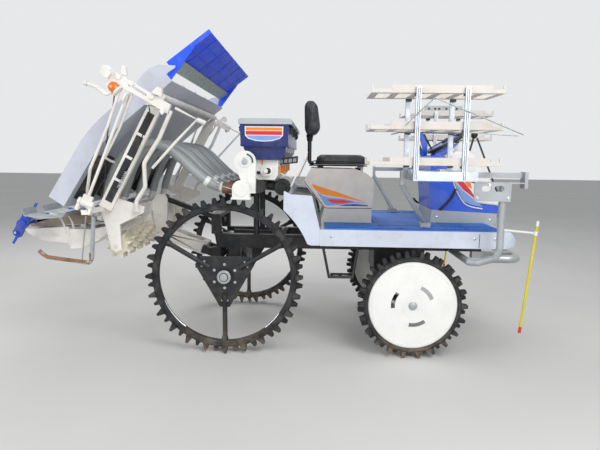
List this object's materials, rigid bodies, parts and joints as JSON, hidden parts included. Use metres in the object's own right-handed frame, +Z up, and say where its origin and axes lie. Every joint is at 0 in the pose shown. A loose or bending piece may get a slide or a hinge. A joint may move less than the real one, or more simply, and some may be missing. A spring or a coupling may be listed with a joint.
{
  "type": "rice transplanter",
  "caption": "Riding rice transplanter with a raised planting unit, slanted seedling stage, fertiliser hopper, seedling racks and steered front wheels.",
  "frame": {"origin": "on the ground under the middle of the bounding box", "axes": "+X to the front of the machine, +Y to its left side, +Z up"},
  "size_m": [3.215, 1.9518, 1.8683],
  "materials": {
    "frame_black": "satin black paint",
    "white_panel": "glossy moulding",
    "deck_panel": "glossy pale bluish moulding",
    "blue_panel": "glossy moulding",
    "mat_rubber": "ribbed rubber",
    "cover_grey": "satin moulding with coloured stripes",
    "step_plastic": "ribbed plastic",
    "seat_skin": "soft black covering",
    "engine_iron": "painted casting",
    "wheel_plastic": "moulded grip",
    "silver_paint": "silver paint",
    "grey_paint": "grey paint",
    "rack_aluminium": "brushed profile",
    "tray_plastic": "off-white moulding",
    "hopper_blue": "dark blue moulding",
    "lid_grey": "grey moulding",
    "hose_grey": "translucent ribbed hose",
    "tyre_rubber": "moulded rubber",
    "disc_white": "white paint",
    "link_white": "worn white paint",
    "rod_chrome": "polished rod",
    "case_aluminium": "cast aluminium with dried mud",
    "galvanised": "galvanised sheet",
    "float_plastic": "white blow-moulded shell",
    "stage_plastic": "pale grey moulding",
    "belt_black": "ribbed belt",
    "head_blue": "blue paint",
    "rotor_cream": "cream moulding",
    "pole_yellow": "yellow rod with a red tip"
  },
  "bodies": {
    "chassis": {"main_frame": "frame_black", "front_axle_case": "frame_black", "rear_axle_case": "frame_black", "engine_block": "engine_iron", "engine_cover": "cover_grey", "platform": "deck_panel", "tread_mat": "mat_rubber", "rear_fenders": "deck_panel", "rear_steps": "step_plastic", "hood_base": "grey_paint", "hood_lower": "blue_panel", "hood_upper": "white_panel", "steering_column": "blue_panel", "marker_poles": "pole_yellow", "bumper": "silver_paint", "boarding_steps": "frame_black", "rack_supports": "grey_paint", "hopper": "hopper_blue", "meter_unit": "white_panel", "air_duct": "frame_black", "gear_case": "white_panel", "hoses": "hose_grey"},
    "front_wheel_left": {"front_tyre_left": "tyre_rubber", "front_disc_left": "disc_white"},
    "front_wheel_right": {"front_tyre_right": "tyre_rubber", "front_disc_right": "disc_white"},
    "knuckle_left": {"knuckle_left": "frame_black"},
    "knuckle_right": {"knuckle_right": "frame_black"},
    "track_rod": {"track_rod": "frame_black"},
    "steering_wheel": {"steering_wheel": "wheel_plastic"},
    "rear_wheel_left": {"rear_tyre_left": "tyre_rubber", "rear_spider_left": "frame_black"},
    "rear_wheel_right": {"rear_tyre_right": "tyre_rubber", "rear_spider_right": "frame_black"},
    "seat": {"seat_cushion": "seat_skin", "seat_backrest": "seat_skin", "seat_bracket": "frame_black"},
    "hopper_lid": {"hopper_lid": "lid_grey"},
    "rack_left": {"rack_frame_left": "rack_aluminium", "rack_trays_left": "tray_plastic"},
    "rack_right": {"rack_frame_right": "rack_aluminium", "rack_trays_right": "tray_plastic"},
    "lower_link": {"link_yoke": "frame_black", "lower_link": "link_white"},
    "upper_link": {"upper_link": "frame_black"},
    "planting_unit": {"planting_frame": "link_white", "chain_cases": "case_aluminium", "guide_rail": "galvanised", "floats": "float_plastic", "guard_pipes": "grey_paint", "lamp_brackets": "link_white"},
    "stage": {"stage_bed": "stage_plastic", "feed_belts": "belt_black", "stage_extension": "blue_panel"},
    "planting_heads": {"planting_heads": "head_blue"},
    "levelling_rotor": {"levelling_rotor": "rotor_cream"},
    "marker_arm_left": {"marker_arm_left": "link_white"},
    "marker_arm_right": {"marker_arm_right": "link_white"},
    "lift_cylinder": {"lift_cylinder": "frame_black"},
    "lift_rod": {"lift_rod": "rod_chrome"}
  },
  "joints": [
    {"name": "knuckle_left_turn", "type": "hinge", "parent": "chassis", "child": "knuckle_left", "pos_m": [0.8125, 0.452, 0.325], "axis": [0, 0, 1], "range_deg": [-40, 40]},
    {"name": "knuckle_right_turn", "type": "hinge", "parent": "chassis", "child": "knuckle_right", "pos_m": [0.8125, -0.452, 0.325], "axis": [0, 0, 1], "range_deg": [-40.5, 40.5]},
    {"name": "track_rod_turn", "type": "hinge", "parent": "knuckle_left", "child": "track_rod", "pos_m": [0.6825, 0.452, 0.338], "axis": [0, 0, 1], "range_deg": [-40.5, 40.5]},
    {"name": "steering_turn", "type": "hinge", "parent": "chassis", "child": "steering_wheel", "pos_m": [1.1195, 0, 1.308], "axis": [-0.4848, 0, 0.8746], "range_deg": [-486, 486]},
    {"name": "front_wheel_left_spin", "type": "hinge", "parent": "knuckle_left", "child": "front_wheel_left", "pos_m": [0.8125, 0.57, 0.325], "axis": [0, 1, 0], "continuous": true},
    {"name": "front_wheel_right_spin", "type": "hinge", "parent": "knuckle_right", "child": "front_wheel_right", "pos_m": [0.8125, -0.57, 0.325], "axis": [0, 1, 0], "continuous": true},
    {"name": "rear_wheel_left_spin", "type": "hinge", "parent": "chassis", "child": "rear_wheel_left", "pos_m": [-0.3175, 0.566, 0.475], "axis": [0, 1, 0], "continuous": true},
    {"name": "rear_wheel_right_spin", "type": "hinge", "parent": "chassis", "child": "rear_wheel_right", "pos_m": [-0.3175, -0.566, 0.475], "axis": [0, 1, 0], "continuous": true},
    {"name": "seat_tip", "type": "hinge", "parent": "chassis", "child": "seat", "pos_m": [0.5285, 0, 1.129], "axis": [0, 1, 0], "range_deg": [0, 55]},
    {"name": "lid_open", "type": "hinge", "parent": "chassis", "child": "hopper_lid", "pos_m": [-0.2355, 0, 1.368], "axis": [0, -1, 0], "range_deg": [0, 80]},
    {"name": "rack_left_slide", "type": "slide", "parent": "chassis", "child": "rack_left", "axis": [1, 0, 0], "range_m": [-0.41, 0]},
    {"name": "rack_right_slide", "type": "slide", "parent": "chassis", "child": "rack_right", "axis": [1, 0, 0], "range_m": [0, 0.41]},
    {"name": "lift_upper", "type": "hinge", "parent": "chassis", "child": "upper_link", "pos_m": [-0.4375, 0, 0.752], "axis": [0, 1, 0], "range_deg": [-58, 0], "deforming": ["hoses"]},
    {"name": "lift_lower", "type": "hinge", "parent": "chassis", "child": "lower_link", "pos_m": [-0.4375, 0, 0.512], "axis": [0, 1, 0], "range_deg": [-58.5, 0.5]},
    {"name": "planting_level", "type": "hinge", "parent": "upper_link", "child": "planting_unit", "pos_m": [-0.83875, 0, 0.89804], "axis": [0, 1, 0], "range_deg": [-0.5, 58.5]},
    {"name": "cylinder_swing", "type": "hinge", "parent": "chassis", "child": "lift_cylinder", "pos_m": [-0.0475, 0, 0.648], "axis": [0, 1, 0], "range_deg": [-10.01, 0.5]},
    {"name": "cylinder_stroke", "type": "slide", "parent": "lift_cylinder", "child": "lift_rod", "axis": [-0.9996, 0, 0.0282], "range_m": [-0.002, 0.1285]},
    {"name": "stage_shift", "type": "slide", "parent": "planting_unit", "child": "stage", "axis": [0, 1, 0], "range_m": [-0.14, 0.14]},
    {"name": "planting_turn", "type": "hinge", "parent": "planting_unit", "child": "planting_heads", "pos_m": [-1.5225, 0, 0.78], "axis": [0, 1, 0], "continuous": true},
    {"name": "rotor_turn", "type": "hinge", "parent": "planting_unit", "child": "levelling_rotor", "pos_m": [-0.9175, 0, 0.672], "axis": [0, 1, 0], "continuous": true},
    {"name": "marker_left_out", "type": "hinge", "parent": "planting_unit", "child": "marker_arm_left", "pos_m": [-0.9785, 0.946, 0.94], "axis": [-0.9219, 0, 0.3875], "range_deg": [0, 85]},
    {"name": "marker_right_out", "type": "hinge", "parent": "planting_unit", "child": "marker_arm_right", "pos_m": [-0.9785, -0.946, 0.94], "axis": [0.9219, 0, -0.3875], "range_deg": [0, 85]}
  ],
  "couplings": [
    {"joint": "knuckle_right_turn", "follows": "knuckle_left_turn", "ratio": 1},
    {"joint": "track_rod_turn", "follows": "knuckle_left_turn", "ratio": -1},
    {"joint": "steering_turn", "follows": "knuckle_left_turn", "ratio": 12},
    {"joint": "lift_lower", "follows": "lift_upper", "ratio": 1},
    {"joint": "planting_level", "follows": "lift_upper", "ratio": -1},
    {"joint": "cylinder_swing", "follows": "lift_upper", "ratio": 0.164},
    {"joint": "cylinder_stroke", "follows": "lift_upper", "m_per_rad": -0.124}
  ]
}
